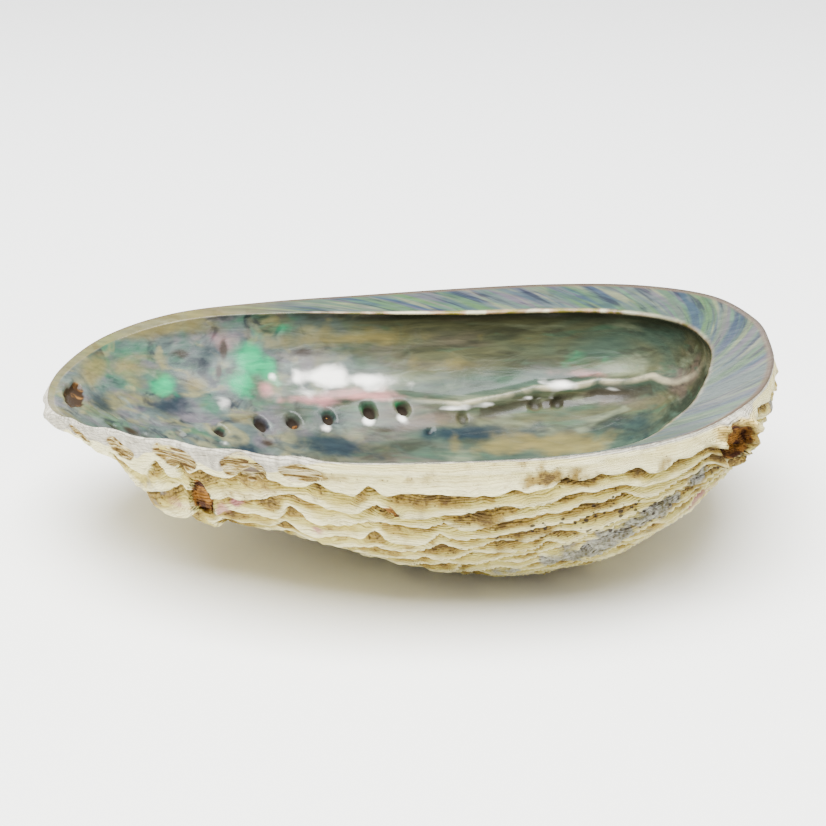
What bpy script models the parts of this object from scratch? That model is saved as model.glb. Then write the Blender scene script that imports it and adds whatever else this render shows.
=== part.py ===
"""An abalone shell lying on its back: one closed, faceted solid, in metres, +Z up.

A UV sphere gives the closed mesh. Its lower rings become the ridged outside, its
upper rings are folded down into the bowl, and the rings between them are the rim and
the broad inner shelf. The holes and pits are then cut with closed cutters.
"""
import math

import bmesh
import bpy
import numpy as np
from mathutils import Matrix, Vector

MM = 0.001

# Mesh of the shell: meridians round the bowl, rings outside and rings inside.
SEGMENTS = 120
RINGS_OUTSIDE = 28
RINGS_INSIDE = 11

# Rim of the aperture, in millimetres, from the spire end round by the far side.
RIM = (
    (79.3, 9.5, 42.0), (78.8, 26.7, 42.0), (71.6, 44.9, 42.0), (55.4, 54.9, 41.7),
    (34.4, 56.8, 41.4), (11.5, 54.0, 41.1), (-11.5, 49.2, 40.9), (-34.4, 44.4, 40.6),
    (-55.4, 37.7, 39.9), (-70.7, 28.6, 37.1), (-78.8, 13.4, 34.0), (-78.3, -4.8, 33.4),
    (-71.6, -22.0, 35.5), (-59.2, -39.2, 39.0), (-40.1, -52.0, 40.5), (-17.2, -60.2, 40.8),
    (7.6, -61.1, 41.1), (32.5, -57.8, 41.4), (54.4, -47.3, 41.7), (69.7, -27.7, 41.9),
    (76.9, -8.6, 42.0),
)
DEEPEST = (16.2, -4.8)
FLOOR_THICK = 5.0
WALL_THICK = 3.6
WORN_DEPTH = 0.7

# Roundness of the outside toward the spire, the far side, the tip and the near side.
PLAN_POWER = (2.3, 2.4, 1.62, 2.2)
DEPTH_POWER = (1.8, 1.9, 1.28, 1.5)

# Width of the inner shelf, in millimetres, at directions given in degrees.
SHELF_AT = (0, 15, 30, 60, 90, 120, 150, 170, 200, 270, 292, 302, 309, 318, 328, 345, 360)
SHELF_WIDTH = (
    15.6, 14.2, 12.9, 11.9, 10.5, 7.6, 3.3, 1.5, 1.2, 1.2, 2.0, 5.5, 9.5, 12.5, 14.3, 15.4, 15.6,
)
SHELF_SOFTEN = 4.0
SHELF_SLOPE = 0.32
SHELF_UNDERCUT = 0.32
SHELF_SHARE = 0.16
LIP_REACH = 0.10

# Growth rolls, which fan out from a hinge beside the spire.
HINGE = (67.0, -31.0)
ROLL_ANGLE = 5.6
HINGE_REACH = 16.0
ROLL_HEIGHT = 2.5
ROLL_RECESS = 0.8
ROLL_PEAK = 0.68
ROLL_SWAY = 0.3
SCALLOP_DEPTH = 0.45
LOBE_LENGTH = 7.5

# Raised lumps on the outside: x, y, z, radius, height in millimetres.
LUMPS = (
    (-50.4, -32.1, 23.2, 8.0, 5.0), (-45.9, -21.1, 15.2, 6.5, 3.4), (-36.9, -39.1, 23.7, 6.0, 2.4),
    (65.4, -33.1, 35.3, 7.2, 3.8), (-79.9, -0.1, 30.2, 5.5, 1.6),
    (-58.0, 12.0, 15.0, 4.5, 2.6), (-46.0, 17.0, 9.5, 4.5, 2.8), (-34.0, 22.0, 8.5, 4.5, 2.8),
    (-23.0, 26.0, 8.0, 4.5, 2.4), (-11.0, 31.0, 8.0, 4.5, 2.0),
)

# Row of breathing holes on the inside of the far wall: x, y and the radius.
OPEN_HOLES = (
    (-43.8, 15.8, 1.7), (-34.7, 21.2, 1.7), (-27.6, 24.0, 1.6), (-19.3, 27.4, 1.7),
    (-9.8, 31.1, 1.7),
)
CLOSED_HOLES = (
    (-59.1, 2.5, 1.3), (-51.9, 9.5, 1.3), (-2.0, 32.8, 1.5), (12.2, 33.6, 1.2), (29.7, 38.9, 1.4),
)
HOLE_FLARE = 1.5

# Pits beside the spire, in the outside and at the tip: centre, the two half widths across, half depth, in millimetres.
PITS = (
    ((64.3, -38.7, 35.9), (4.0, 3.8, 4.4)),
    ((-42.5, -42.2, 25.5), (2.6, 4.6, 4.4)),
    ((-75.0, 9.0, 31.0), (2.6, 3.2, 3.6)),
)

SHELL_COLOUR = (0.78, 0.72, 0.60, 1.0)
SHELL_ROUGHNESS = 0.55


def rim_point(turn):
    """Point of the rim at a share of the way round, on a smooth closed curve."""
    points = np.array(RIM)
    count = len(points)
    place = (turn % 1.0) * count
    first = np.floor(place).astype(int)
    step = (place - first)[..., None]
    p0 = points[(first - 1) % count]
    p1 = points[first % count]
    p2 = points[(first + 1) % count]
    p3 = points[(first + 2) % count]
    cubic = 3 * p1 - 3 * p2 + p3 - p0
    square = 2 * p0 - 5 * p1 + 4 * p2 - p3
    return 0.5 * (2 * p1 + (p2 - p0) * step + square * step ** 2 + cubic * step ** 3)


def by_direction(direction, values):
    """Blend of four values given toward +X, +Y, -X and -Y."""
    right, far, left, near = values
    mean = (right + far + left + near) / 4
    return (mean + (right - left) / 2 * np.cos(direction) + (far - near) / 2 * np.sin(direction)
            + (right + left - far - near) / 4 * np.cos(2 * direction))


def polar_parts(turn):
    """Rim point, plan direction from the deepest point, its angle and its length."""
    rim = rim_point(turn)
    across = rim[..., :2] - np.array(DEEPEST)
    length = np.linalg.norm(across, axis=-1)
    direction = np.arctan2(across[..., 1], across[..., 0])
    return rim, across / length[..., None], direction, length


def outside_base(turn, drop):
    """Outside without its rolls: drop is 0 at the rim and 1 at the deepest point."""
    rim, unit, direction, length = polar_parts(turn)
    angle = np.clip(drop, 0, 1) * math.pi / 2
    plan = np.clip(np.cos(angle), 0, 1) ** (2 / by_direction(direction, PLAN_POWER))
    depth = np.clip(np.sin(angle), 0, 1) ** (2 / by_direction(direction, DEPTH_POWER))
    flat = np.array(DEEPEST) + unit * (length * plan)[..., None]
    return np.concatenate([flat, (rim[..., 2] * (1 - depth))[..., None]], axis=-1)


def inside_base(turn, drop):
    """Shelf and bowl: drop is 0 at the rim and 1 at the floor above the deepest point."""
    rim, unit, direction, length = polar_parts(turn)
    width = np.mean([np.interp((np.degrees(direction) + shift) % 360, SHELF_AT, SHELF_WIDTH)
                     for shift in (-SHELF_SOFTEN, 0.0, SHELF_SOFTEN)], axis=0)
    wall = np.maximum(width * (1 - SHELF_UNDERCUT), WALL_THICK)
    on_shelf = np.clip(drop / SHELF_SHARE, 0, 1)
    below = np.clip((drop - SHELF_SHARE) / (1 - SHELF_SHARE), 0, 1)
    angle = below * math.pi / 2
    plan = np.clip(np.cos(angle), 0, 1) ** (2 / by_direction(direction, PLAN_POWER))
    depth = np.clip(np.sin(angle), 0, 1) ** (2 / by_direction(direction, DEPTH_POWER))
    lip = (wall - width) * np.exp(-below / LIP_REACH) * (1 - below)
    reach = np.where(drop < SHELF_SHARE, length - width * on_shelf, (length - wall) * plan + lip)
    shelf_height = rim[..., 2] - SHELF_SLOPE * width * on_shelf
    edge_height = rim[..., 2] - SHELF_SLOPE * width
    bowl_height = edge_height - (edge_height - FLOOR_THICK) * depth
    height = np.where(drop < SHELF_SHARE, shelf_height, bowl_height)
    flat = np.array(DEEPEST) + unit * reach[..., None]
    return np.concatenate([flat, height[..., None]], axis=-1)


def outward(turn, drop):
    """Outward normal of the smooth outside, from small steps along it."""
    small = 0.004
    safe = np.clip(drop, small, 1 - 2 * small)
    round_about = outside_base(turn + small, safe) - outside_base(turn - small, safe)
    downward = outside_base(turn, safe + small) - outside_base(turn, safe - small)
    normal = np.cross(downward, round_about)
    normal = normal / np.linalg.norm(normal, axis=-1)[..., None]
    normal[drop > 1 - 2 * small] = (0.0, 0.0, -1.0)
    return normal


def ripple(point, length, phase):
    """Soft wandering value between about -1 and 1, from sines of the position."""
    x, y, z = point[..., 0] / length, point[..., 1] / length, point[..., 2] / length
    first = np.sin(2.1 * x + 1.3 * y + 0.7 * z + phase) + np.sin(1.7 * y - 0.9 * x + 2.3 * z + 2 * phase)
    second = np.sin(2.6 * z + 1.9 * x - 1.1 * y + 3 * phase)
    return (first + second) / 3


def scallop(row, point):
    """Depth of the lobes along the lower edge of a row of rolls: 0 at a cusp, about 1 in a lobe."""
    x, y = point[..., 0] / LOBE_LENGTH, point[..., 1] / LOBE_LENGTH
    wave = np.sin(2.1 * x + 1.3 * y + 2.4 * row) + np.sin(1.9 * y - 1.2 * x + 1.7 * row)
    wave = wave + 0.5 * np.sin(2.6 * x - 0.8 * y + 3.9 * row)
    return np.where(row > 0, np.minimum(np.abs(wave) * 0.8, 1.15), 0.5)


def roll_height(point, drop, rim_height):
    """Height of the overlapping growth rolls, each of which ends below in a scalloped edge."""
    away = np.hypot(point[..., 0] - HINGE[0], point[..., 1] - HINGE[1]) + HINGE_REACH
    depth = np.maximum(rim_height - point[..., 2], 0)
    fan = np.degrees(np.arctan2(depth, away)) / ROLL_ANGLE
    fan = fan + ROLL_SWAY * np.clip(fan, 0, 1) * ripple(point, 26.0, 0.4)
    row = np.floor(fan) + 1
    for _ in range(2):
        row = row - (row + SCALLOP_DEPTH * (scallop(row, point) - 0.5) > fan)
    upper = row + SCALLOP_DEPTH * (scallop(row, point) - 0.5)
    lobe = scallop(row + 1, point)
    lower = row + 1 + SCALLOP_DEPTH * (lobe - 0.5)
    part = np.clip((fan - upper) / (lower - upper), 0, 1)
    swell = np.where(part < ROLL_PEAK, part / ROLL_PEAK, (1 - part) / (1 - ROLL_PEAK))
    swell = swell * swell * (3 - 2 * swell)
    room = np.hypot(away, depth) * math.radians(ROLL_ANGLE)
    strength = np.clip(fan / 1.3, 0.2, 1) * np.clip((room - 2.0) / 4.0, 0.2, 1)
    worn = np.clip((1 - drop) / 0.2, 0.3, 1)
    bulge = ROLL_HEIGHT * swell * (0.5 + 0.5 * lobe)
    return strength * worn * (bulge - ROLL_RECESS * (1 - swell))


def lump_height(point):
    """Height of the separate raised lumps."""
    total = np.zeros(point.shape[:-1])
    for x, y, z, radius, height in LUMPS:
        gap = np.linalg.norm(point - np.array((x, y, z)), axis=-1)
        total = total + height * np.exp(-(gap / radius) ** 2)
    return total


def outside(turn, drop):
    """Finished outside: smooth bowl, rolls, lumps and the worn flat underside."""
    base = outside_base(turn, drop)
    rim_height = rim_point(turn)[..., 2]
    fade = np.clip(drop / 0.05, 0, 1)
    height = (roll_height(base, drop, rim_height) + lump_height(base)) * fade
    point = base + outward(turn, drop) * height[..., None]
    point[..., 2] = np.maximum(point[..., 2], WORN_DEPTH)
    return point


def shell_mesh():
    """UV sphere whose vertices are moved onto the outside, the rim, the shelf and the bowl."""
    mesh = bpy.data.meshes.new("shell")
    bm = bmesh.new()
    rings = RINGS_OUTSIDE + RINGS_INSIDE
    bmesh.ops.create_uvsphere(bm, u_segments=SEGMENTS, v_segments=rings, radius=1.0)
    bm.verts.ensure_lookup_table()
    sphere = np.array([vert.co[:] for vert in bm.verts])
    turn = np.arctan2(sphere[:, 1], sphere[:, 0]) / (2 * math.pi)
    ring = np.arccos(np.clip(-sphere[:, 2], -1, 1)) / math.pi * rings
    low = ring <= RINGS_OUTSIDE + 0.01
    below = outside(turn, np.clip(1 - ring / RINGS_OUTSIDE, 0, 1))
    above = inside_base(turn, np.clip((ring - RINGS_OUTSIDE) / RINGS_INSIDE, 0, 1))
    place = np.where(low[:, None], below, above)
    for vert, spot in zip(bm.verts, place):
        vert.co = spot * MM
    bmesh.ops.triangulate(bm, faces=bm.faces[:])
    bmesh.ops.recalc_face_normals(bm, faces=bm.faces[:])
    bm.to_mesh(mesh)
    bm.free()
    return mesh


def shell_material():
    """Chalky cream of the outside, which is what most of the body shows."""
    material = bpy.data.materials.new("shell")
    material.use_nodes = True
    surface = material.node_tree.nodes["Principled BSDF"]
    surface.inputs["Base Color"].default_value = SHELL_COLOUR
    surface.inputs["Roughness"].default_value = SHELL_ROUGHNESS
    surface.inputs["Metallic"].default_value = 0.0
    return material


def nearest_turn(x, y):
    """Share of the way round the rim whose meridian passes over a plan point."""
    turns = np.arange(2880) / 2880
    _, unit, _, _ = polar_parts(turns)
    across = np.array((x, y)) - np.array(DEEPEST)
    return turns[np.argmax(unit @ (across / np.linalg.norm(across)))]


def over_plan(surface, x, y, first):
    """Point of a surface above or below a plan point, searched down its meridian."""
    drops = np.linspace(first, 1, 1600)
    line = surface(np.full(drops.shape, nearest_turn(x, y)), drops)
    return line[np.argmin(np.hypot(line[:, 0] - x, line[:, 1] - y))]


def hole_line(x, y):
    """Where a hole leaves the bowl and where it comes out, on the same normal."""
    inner = over_plan(inside_base, x, y, SHELF_SHARE)
    turns = np.full(1600, nearest_turn(x, y))
    drops = np.linspace(0.02, 1, 1600)
    skin = outside(turns, drops)
    outer = skin[np.argmin(np.linalg.norm(skin - inner, axis=-1))]
    return inner, outer


def new_cutter(name, bm, home, shell):
    """Closed cutter as its own object, which moves with the shell and isn't rendered."""
    bmesh.ops.recalc_face_normals(bm, faces=bm.faces[:])
    mesh = bpy.data.meshes.new(name)
    bm.to_mesh(mesh)
    bm.free()
    cutter = bpy.data.objects.new(name, mesh)
    cutter.hide_render = True
    cutter.display_type = "WIRE"
    cutter.parent = shell
    home.objects.link(cutter)
    return cutter


def hole_cutter(name, start, end, radius, home, shell):
    """Tapered round cutter from a start to an end, wider where it comes out."""
    bm = bmesh.new()
    span = end - start
    length = float(np.linalg.norm(span))
    bmesh.ops.create_cone(bm, cap_ends=True, segments=10, radius1=radius * MM,
                          radius2=radius * HOLE_FLARE * MM, depth=length * MM)
    cutter = new_cutter(name, bm, home, shell)
    aim = Vector(span.tolist()).to_track_quat("Z", "Y")
    middle = (start + end) / 2
    cutter.matrix_local = Matrix.LocRotScale(Vector((middle * MM).tolist()), aim, None)
    return cutter


def pit_cutter(name, centre, halves, home, shell):
    """Rounded cutter whose third half width points at the deepest point in plan."""
    bm = bmesh.new()
    bmesh.ops.create_uvsphere(bm, u_segments=12, v_segments=8, radius=MM)
    cutter = new_cutter(name, bm, home, shell)
    inward = Vector((DEEPEST[0] - centre[0], DEEPEST[1] - centre[1], 0.0))
    aim = inward.to_track_quat("Z", "Y")
    cutter.matrix_local = Matrix.LocRotScale(Vector(centre) * MM, aim, Vector(halves))
    return cutter


def all_cutters(home, shell):
    """Cutters of the open holes, the closed holes, the pits and the notch at the tip."""
    cutters = []
    for number, (x, y, radius) in enumerate(OPEN_HOLES):
        inner, outer = hole_line(x, y)
        along = (outer - inner) / np.linalg.norm(outer - inner)
        cutters.append(hole_cutter(f"open_hole_{number}", inner - along * 4, outer + along * 6,
                                   radius, home, shell))
    for number, (x, y, radius) in enumerate(CLOSED_HOLES):
        inner, outer = hole_line(x, y)
        along = (outer - inner) / np.linalg.norm(outer - inner)
        cutters.append(hole_cutter(f"closed_hole_{number}", inner - along * 4, inner + along * 1.6,
                                   radius, home, shell))
        cutters.append(hole_cutter(f"worn_hole_{number}", outer - along * 1.4, outer + along * 6,
                                   radius, home, shell))
    for number, (centre, halves) in enumerate(PITS):
        cutters.append(pit_cutter(f"pit_{number}", centre, halves, home, shell))
    return cutters


def place_over_origin(shell):
    """Put the middle of the shell's bounding box over the origin and its flat on the ground."""
    corners = np.array(shell.bound_box)
    middle = (corners.min(axis=0) + corners.max(axis=0)) / 2
    shell.location = (-middle[0], -middle[1], -corners[:, 2].min())


def main():
    """Build the shell in its own collection and cut its holes."""
    for leftover in list(bpy.data.objects):
        bpy.data.objects.remove(leftover)
    part = bpy.data.collections.new("abalone_shell")
    tools = bpy.data.collections.new("cutters")
    bpy.context.scene.collection.children.link(part)
    bpy.context.scene.collection.children.link(tools)
    shell = bpy.data.objects.new("shell", shell_mesh())
    shell.data.materials.append(shell_material())
    part.objects.link(shell)
    place_over_origin(shell)
    for cutter in all_cutters(tools, shell):
        cut = shell.modifiers.new(cutter.name, "BOOLEAN")
        cut.operation = "DIFFERENCE"
        cut.solver = "EXACT"
        cut.object = cutter
    for face in shell.data.polygons:
        face.use_smooth = True


main()
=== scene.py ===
"""Abalone shell lying on its back: nacre bowl, broad inner shelf and a crusted, rolled outside."""
import math

import bpy
import numpy as np
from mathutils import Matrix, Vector


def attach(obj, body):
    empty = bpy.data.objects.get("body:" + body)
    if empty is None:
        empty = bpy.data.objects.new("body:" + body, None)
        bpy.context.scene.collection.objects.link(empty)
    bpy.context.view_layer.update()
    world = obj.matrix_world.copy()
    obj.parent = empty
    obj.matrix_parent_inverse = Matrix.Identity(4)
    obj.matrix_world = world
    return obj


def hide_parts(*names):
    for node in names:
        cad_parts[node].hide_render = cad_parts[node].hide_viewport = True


bl_info = {
    "name": "Abalone Shell",
    "version": (1, 0, 0),
    "blender": (4, 5, 0),
    "location": "View3D > Sidebar > Shell",
    "description": "An abalone shell on its back, with a nacre bowl and a crusted outside",
    "category": "Add Mesh",
}

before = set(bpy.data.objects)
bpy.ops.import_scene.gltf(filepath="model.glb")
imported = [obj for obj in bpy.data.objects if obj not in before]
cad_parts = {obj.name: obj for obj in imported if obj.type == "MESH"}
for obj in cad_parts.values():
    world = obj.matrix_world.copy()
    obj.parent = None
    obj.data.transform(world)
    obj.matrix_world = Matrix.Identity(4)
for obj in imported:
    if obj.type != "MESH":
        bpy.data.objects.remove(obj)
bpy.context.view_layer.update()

MM = 0.001

# Rim of the aperture, in millimetres, from the spire end round by the far side.
RIM = (
    (79.3, 9.5, 42.0), (78.8, 26.7, 42.0), (71.6, 44.9, 42.0), (55.4, 54.9, 41.7),
    (34.4, 56.8, 41.4), (11.5, 54.0, 41.1), (-11.5, 49.2, 40.9), (-34.4, 44.4, 40.6),
    (-55.4, 37.7, 39.9), (-70.7, 28.6, 37.1), (-78.8, 13.4, 34.0), (-78.3, -4.8, 33.4),
    (-71.6, -22.0, 35.5), (-59.2, -39.2, 39.0), (-40.1, -52.0, 40.5), (-17.2, -60.2, 40.8),
    (7.6, -61.1, 41.1), (32.5, -57.8, 41.4), (54.4, -47.3, 41.7), (69.7, -27.7, 41.9),
    (76.9, -8.6, 42.0),
)
DEEPEST = (16.2, -4.8)
FLOOR_THICK = 5.0
WALL_THICK = 3.6
WORN_DEPTH = 0.7
TO_ORIGIN = (-0.13, 2.14, -WORN_DEPTH)

# Roundness of the outside toward the spire, the far side, the tip and the near side.
PLAN_POWER = (2.3, 2.4, 1.62, 2.2)
DEPTH_POWER = (1.8, 1.9, 1.28, 1.5)

# Width of the inner shelf, in millimetres, at directions given in degrees.
SHELF_AT = (0, 15, 30, 60, 90, 120, 150, 170, 200, 270, 292, 302, 309, 318, 328, 345, 360)
SHELF_WIDTH = (
    15.6, 14.2, 12.9, 11.9, 10.5, 7.6, 3.3, 1.5, 1.2, 1.2, 2.0, 5.5, 9.5, 12.5, 14.3, 15.4, 15.6,
)
SHELF_SOFTEN = 4.0
SHELF_SLOPE = 0.32
SHELF_UNDERCUT = 0.32
SHELF_SHARE = 0.16
LIP_REACH = 0.10
EDGE_ROUNDING = 0.012

# Growth rolls: rows parallel to the rim that draw together at a hinge beside the spire.
HINGE = (67.0, -31.0)
HINGE_REACH = 16.0
ROLL_SPACING = 4.2
ROLL_OPENING = 25.0
ARC_REACH = 90.0
ARC_SPACING = 8.0
ROLL_RECESS = 0.9
ROLL_PEAK = 0.86
SCALLOP_DEPTH = 0.72
LOBE_LENGTH = 7.6

# Meshes of the two layers: meridians at the rim, rings that show and rings that are buried.
MERIDIANS = 800
CRUST_RINGS = 150
NACRE_RINGS = 120
BURIED_RINGS = 10
COARSER_BELOW = (0.5, 0.25, 0.12)

# Raised lumps on the outside: x, y, z, radius, height in millimetres.
LUMPS = (
    (-50.0, -29.0, 21.5, 8.5, 5.8), (-46.0, -19.0, 14.5, 6.5, 3.4), (-37.0, -37.0, 23.0, 6.0, 2.4),
    (64.6, -31.6, 36.4, 6.8, 3.6), (-80.0, 2.0, 29.5, 5.5, 1.6), (-19.0, -39.5, 17.5, 3.5, 1.4),
    (78.0, -14.0, 33.0, 4.0, 1.8), (80.0, 2.0, 35.0, 3.0, 1.5), (79.0, -3.0, 28.0, 4.0, 1.8),
    (76.0, -19.0, 37.0, 3.0, 1.6), (79.5, 12.0, 35.0, 3.5, 1.3), (-38.0, -22.0, 17.5, 9.0, 2.6),
    (-76.5, -10.0, 31.0, 4.5, 2.2), (-58.1, 14.1, 14.3, 4.5, 2.6), (-46.1, 19.1, 8.8, 4.5, 2.8),
    (-34.1, 24.1, 7.8, 4.5, 2.8), (-23.1, 28.1, 7.3, 4.5, 2.4), (-11.1, 33.1, 7.3, 4.5, 2.0),
)

# Openings of the outside: centre, half widths, depth and lip height, in millimetres.
OUTSIDE_PITS = (
    ((64.6, -37.0, 36.4), (4.2, 3.6, 3.4), 4.0, 1.8),
    ((-41.6, -38.5, 24.9), (2.1, 8.5, 8.0), 3.4, 0.4),
    ((-4.1, -56.0, 29.1), (1.2, 1.5, 1.2), 0.9, 0.6),
    ((-3.0, -55.9, 28.2), (1.0, 1.2, 1.0), 0.7, 0.5),
)

# Way that the openings of the outside run into the shell.
PIT_WAY = (0.0, 0.94, -0.34)

# Shallow fibrous cells just below the rim: centre, half widths, depth and lip height.
RIM_CELLS = (
    ((-67.6, -22.4, 32.6), (3.0, 3.8, 2.1), 0.7, 0.3), ((-57.7, -35.3, 34.8), (3.6, 3.8, 2.3), 0.8, 0.3),
    ((-45.6, -45.0, 36.2), (5.0, 4.2, 2.7), 0.9, 0.3), ((-32.0, -52.0, 36.7), (4.8, 3.6, 2.7), 0.9, 0.3),
    ((-21.1, -56.2, 37.3), (4.2, 2.8, 1.6), 0.7, 0.2),
)

# Rise of the rim over each of these cells, and how far it reaches along the rim.
CREST_LIFT = 0.85
CREST_REACH = 4.6

# Notch beside the tip, seen inside: centre, half widths, depth and lip height.
INSIDE_PITS = (
    ((-74.6, 7.0, 30.2), (2.0, 6.5, 4.0), 0.9, 0.4),
)

# Line of the breathing holes in plan, from the tip to the spire.
HOLE_ROW = (
    (-74.7, 8.5), (-65.5, 2.5), (-59.2, 5.2), (-52.0, 11.6), (-43.9, 17.9), (-34.8, 23.3),
    (-27.7, 26.1), (-19.4, 29.5), (-9.9, 33.2), (-2.1, 34.9), (12.1, 36.2), (29.6, 41.3),
    (44.8, 42.0), (56.4, 38.6), (66.3, 27.6),
)

# Breathing holes: x, y and radius in millimetres, then their depth and the depth from which their painted
# shade is full.
OPEN_HOLES = (
    (-43.9, 17.9, 1.7), (-34.8, 23.3, 1.7), (-27.7, 26.1, 1.6), (-19.4, 29.5, 1.7), (-9.9, 33.2, 1.7),
    (-2.1, 34.9, 1.6),
)
CLOSED_HOLES = (
    (-65.5, 1.8, 1.2), (-59.2, 4.6, 1.3), (-52.0, 11.6, 1.3), (4.3, 31.0, 0.8), (12.1, 35.7, 1.2),
    (29.6, 41.0, 1.5), (35.0, 41.3, 1.1),
)
HOLE_WIDENING = 1.05
OPEN_DEPTH = 2.1
CLOSED_DEPTH = 0.85
DARK_FROM_DEPTH = 1.8

# Where the open holes come out: width over the hole's radius, depth and lip height.
EXIT_WIDENING = 1.3
EXIT_DEPTH = 1.7
EXIT_LIP = 0.7

# How far into the wall the hidden back of each layer lies, as a share of its thickness.
CRUST_INWARD = 0.42
NACRE_INWARD = 0.40

# Unwrapping: centre and radius of the disc that shows and of the buried one.
SHOWN_DISC = (0.46, 0.54, 0.455)
BURIED_DISC = (0.88, 0.12, 0.115)

# Floor sweep: half width, reach toward the camera, start of the bend, its length and radius, in metres.
FLOOR_HALF = 1.6
FLOOR_FRONT = 1.2
FLOOR_BACK = 1.4
BEND_LENGTH = 1.2
BEND_RADIUS = 0.76

# Key light's place, size and colour, then the camera's aim in metres and its lens in millimetres.
KEY_PLACE = (-0.1, -0.42, 1.3)
KEY_SIZE = 1.2
KEY_COLOUR = (0.96, 0.98, 1.0)
CAMERA_AIM = (0.00035, 0.00071, 0.02843)
LENS = 85.0
SENSOR = 36.0


def rim_point(turn):
    """Catmull-Rom curve through the rim's points, read at a share of the way round."""
    points = np.array(RIM)
    count = len(points)
    place = (turn % 1.0) * count
    first = np.floor(place).astype(int)
    step = (place - first)[..., None]
    p0 = points[(first - 1) % count]
    p1 = points[first % count]
    p2 = points[(first + 1) % count]
    p3 = points[(first + 2) % count]
    cubic = 3 * p1 - 3 * p2 + p3 - p0
    square = 2 * p0 - 5 * p1 + 4 * p2 - p3
    return 0.5 * (2 * p1 + (p2 - p0) * step + square * step ** 2 + cubic * step ** 3)


def by_direction(direction, values):
    """Blend of four values given toward +X, +Y, -X and -Y, as a mean and three cosines."""
    right, far, left, near = values
    mean = (right + far + left + near) / 4
    return (mean + (right - left) / 2 * np.cos(direction) + (far - near) / 2 * np.sin(direction)
            + (right + left - far - near) / 4 * np.cos(2 * direction))


def polar_parts(turn):
    """Rim point, plan direction from the deepest point, its angle and its length."""
    rim = rim_point(turn)
    across = rim[..., :2] - np.array(DEEPEST)
    length = np.linalg.norm(across, axis=-1)
    direction = np.arctan2(across[..., 1], across[..., 0])
    return rim, across / length[..., None], direction, length


def outside_base(turn, drop):
    """Superellipse from the rim (drop 0) to the deepest point (drop 1), with powers by direction."""
    rim, unit, direction, length = polar_parts(turn)
    angle = np.clip(drop, 0, 1) * math.pi / 2
    plan = np.clip(np.cos(angle), 0, 1) ** (2 / by_direction(direction, PLAN_POWER))
    depth = np.clip(np.sin(angle), 0, 1) ** (2 / by_direction(direction, DEPTH_POWER))
    flat = np.array(DEEPEST) + unit * (length * plan)[..., None]
    return np.concatenate([flat, (rim[..., 2] * (1 - depth))[..., None]], axis=-1)


def inside_sharp(turn, drop):
    """Straight shelf from the rim (drop 0), then a superellipse bowl down to the floor (drop 1)."""
    rim, unit, direction, length = polar_parts(turn)
    width = np.mean([np.interp((np.degrees(direction) + shift) % 360, SHELF_AT, SHELF_WIDTH)
                     for shift in (-SHELF_SOFTEN, 0.0, SHELF_SOFTEN)], axis=0)
    wall = np.maximum(width * (1 - SHELF_UNDERCUT), WALL_THICK)
    on_shelf = np.clip(drop / SHELF_SHARE, 0, 1)
    below = np.clip((drop - SHELF_SHARE) / (1 - SHELF_SHARE), 0, 1)
    angle = below * math.pi / 2
    plan = np.clip(np.cos(angle), 0, 1) ** (2 / by_direction(direction, PLAN_POWER))
    depth = np.clip(np.sin(angle), 0, 1) ** (2 / by_direction(direction, DEPTH_POWER))
    lip = (wall - width) * np.exp(-below / LIP_REACH) * (1 - below)
    reach = np.where(drop < SHELF_SHARE, length - width * on_shelf, (length - wall) * plan + lip)
    shelf_height = rim[..., 2] - SHELF_SLOPE * width * on_shelf
    edge_height = rim[..., 2] - SHELF_SLOPE * width
    bowl_height = edge_height - (edge_height - FLOOR_THICK) * depth
    height = np.where(drop < SHELF_SHARE, shelf_height, bowl_height)
    flat = np.array(DEEPEST) + unit * reach[..., None]
    return np.concatenate([flat, height[..., None]], axis=-1)


def inside_base(turn, drop):
    """Bowl and shelf with the shelf's edge rounded: a weighted mean of three points down it."""
    near_rim = np.clip(drop / EDGE_ROUNDING, 0, 1)
    near_pole = np.clip((1 - drop) / EDGE_ROUNDING, 0, 1)
    step = EDGE_ROUNDING * near_rim * near_pole
    around = inside_sharp(turn, drop - step) + inside_sharp(turn, drop + step)
    return 0.5 * inside_sharp(turn, drop) + 0.25 * around


def normal_of(surface, turn, drop, pole):
    """Outward normal of a surface from small steps along it, and a fixed one near its pole."""
    small = 0.004
    safe = np.clip(drop, small, 1 - 2 * small)
    round_about = surface(turn + small, safe) - surface(turn - small, safe)
    downward = surface(turn, safe + small) - surface(turn, safe - small)
    normal = np.cross(downward, round_about) * pole
    normal = normal / np.linalg.norm(normal, axis=-1)[..., None]
    normal[drop > 1 - 2 * small] = (0.0, 0.0, -pole)
    return normal


def ripple(point, length, phase):
    """Soft wandering value between about -1 and 1: a mean of three sines of the position."""
    x, y, z = point[..., 0] / length, point[..., 1] / length, point[..., 2] / length
    first = np.sin(2.1 * x + 1.3 * y + 0.7 * z + phase) + np.sin(1.7 * y - 0.9 * x + 2.3 * z + 2 * phase)
    second = np.sin(2.6 * z + 1.9 * x - 1.1 * y + 3 * phase)
    return (first + second) / 3


def grain(point, cell, seed):
    """Value noise from -1 to 1: chance numbers at the corners of cubic cells, smoothly blended."""
    place = point / cell
    low = np.floor(place).astype(np.int64)
    part = place - low
    part = part * part * (3 - 2 * part)
    total = np.zeros(point.shape[:-1])
    for corner in np.ndindex(2, 2, 2):
        spot = low + np.array(corner)
        key = spot[..., 0] * 374761393 + spot[..., 1] * 668265263 + spot[..., 2] * 974634777 + seed * 69069
        key = (key ^ (key >> 13)) * 1274126177
        chance = ((key ^ (key >> 16)) & 65535) / 32767.5 - 1
        weight = np.prod(np.where(np.array(corner) == 1, part, 1 - part), axis=-1)
        total = total + chance * weight
    return total


def smooth_step(value):
    """Soft ramp from 0 to 1: 3v^2 - 2v^3 of the clipped value."""
    value = np.clip(value, 0, 1)
    return value * value * (3 - 2 * value)


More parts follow.
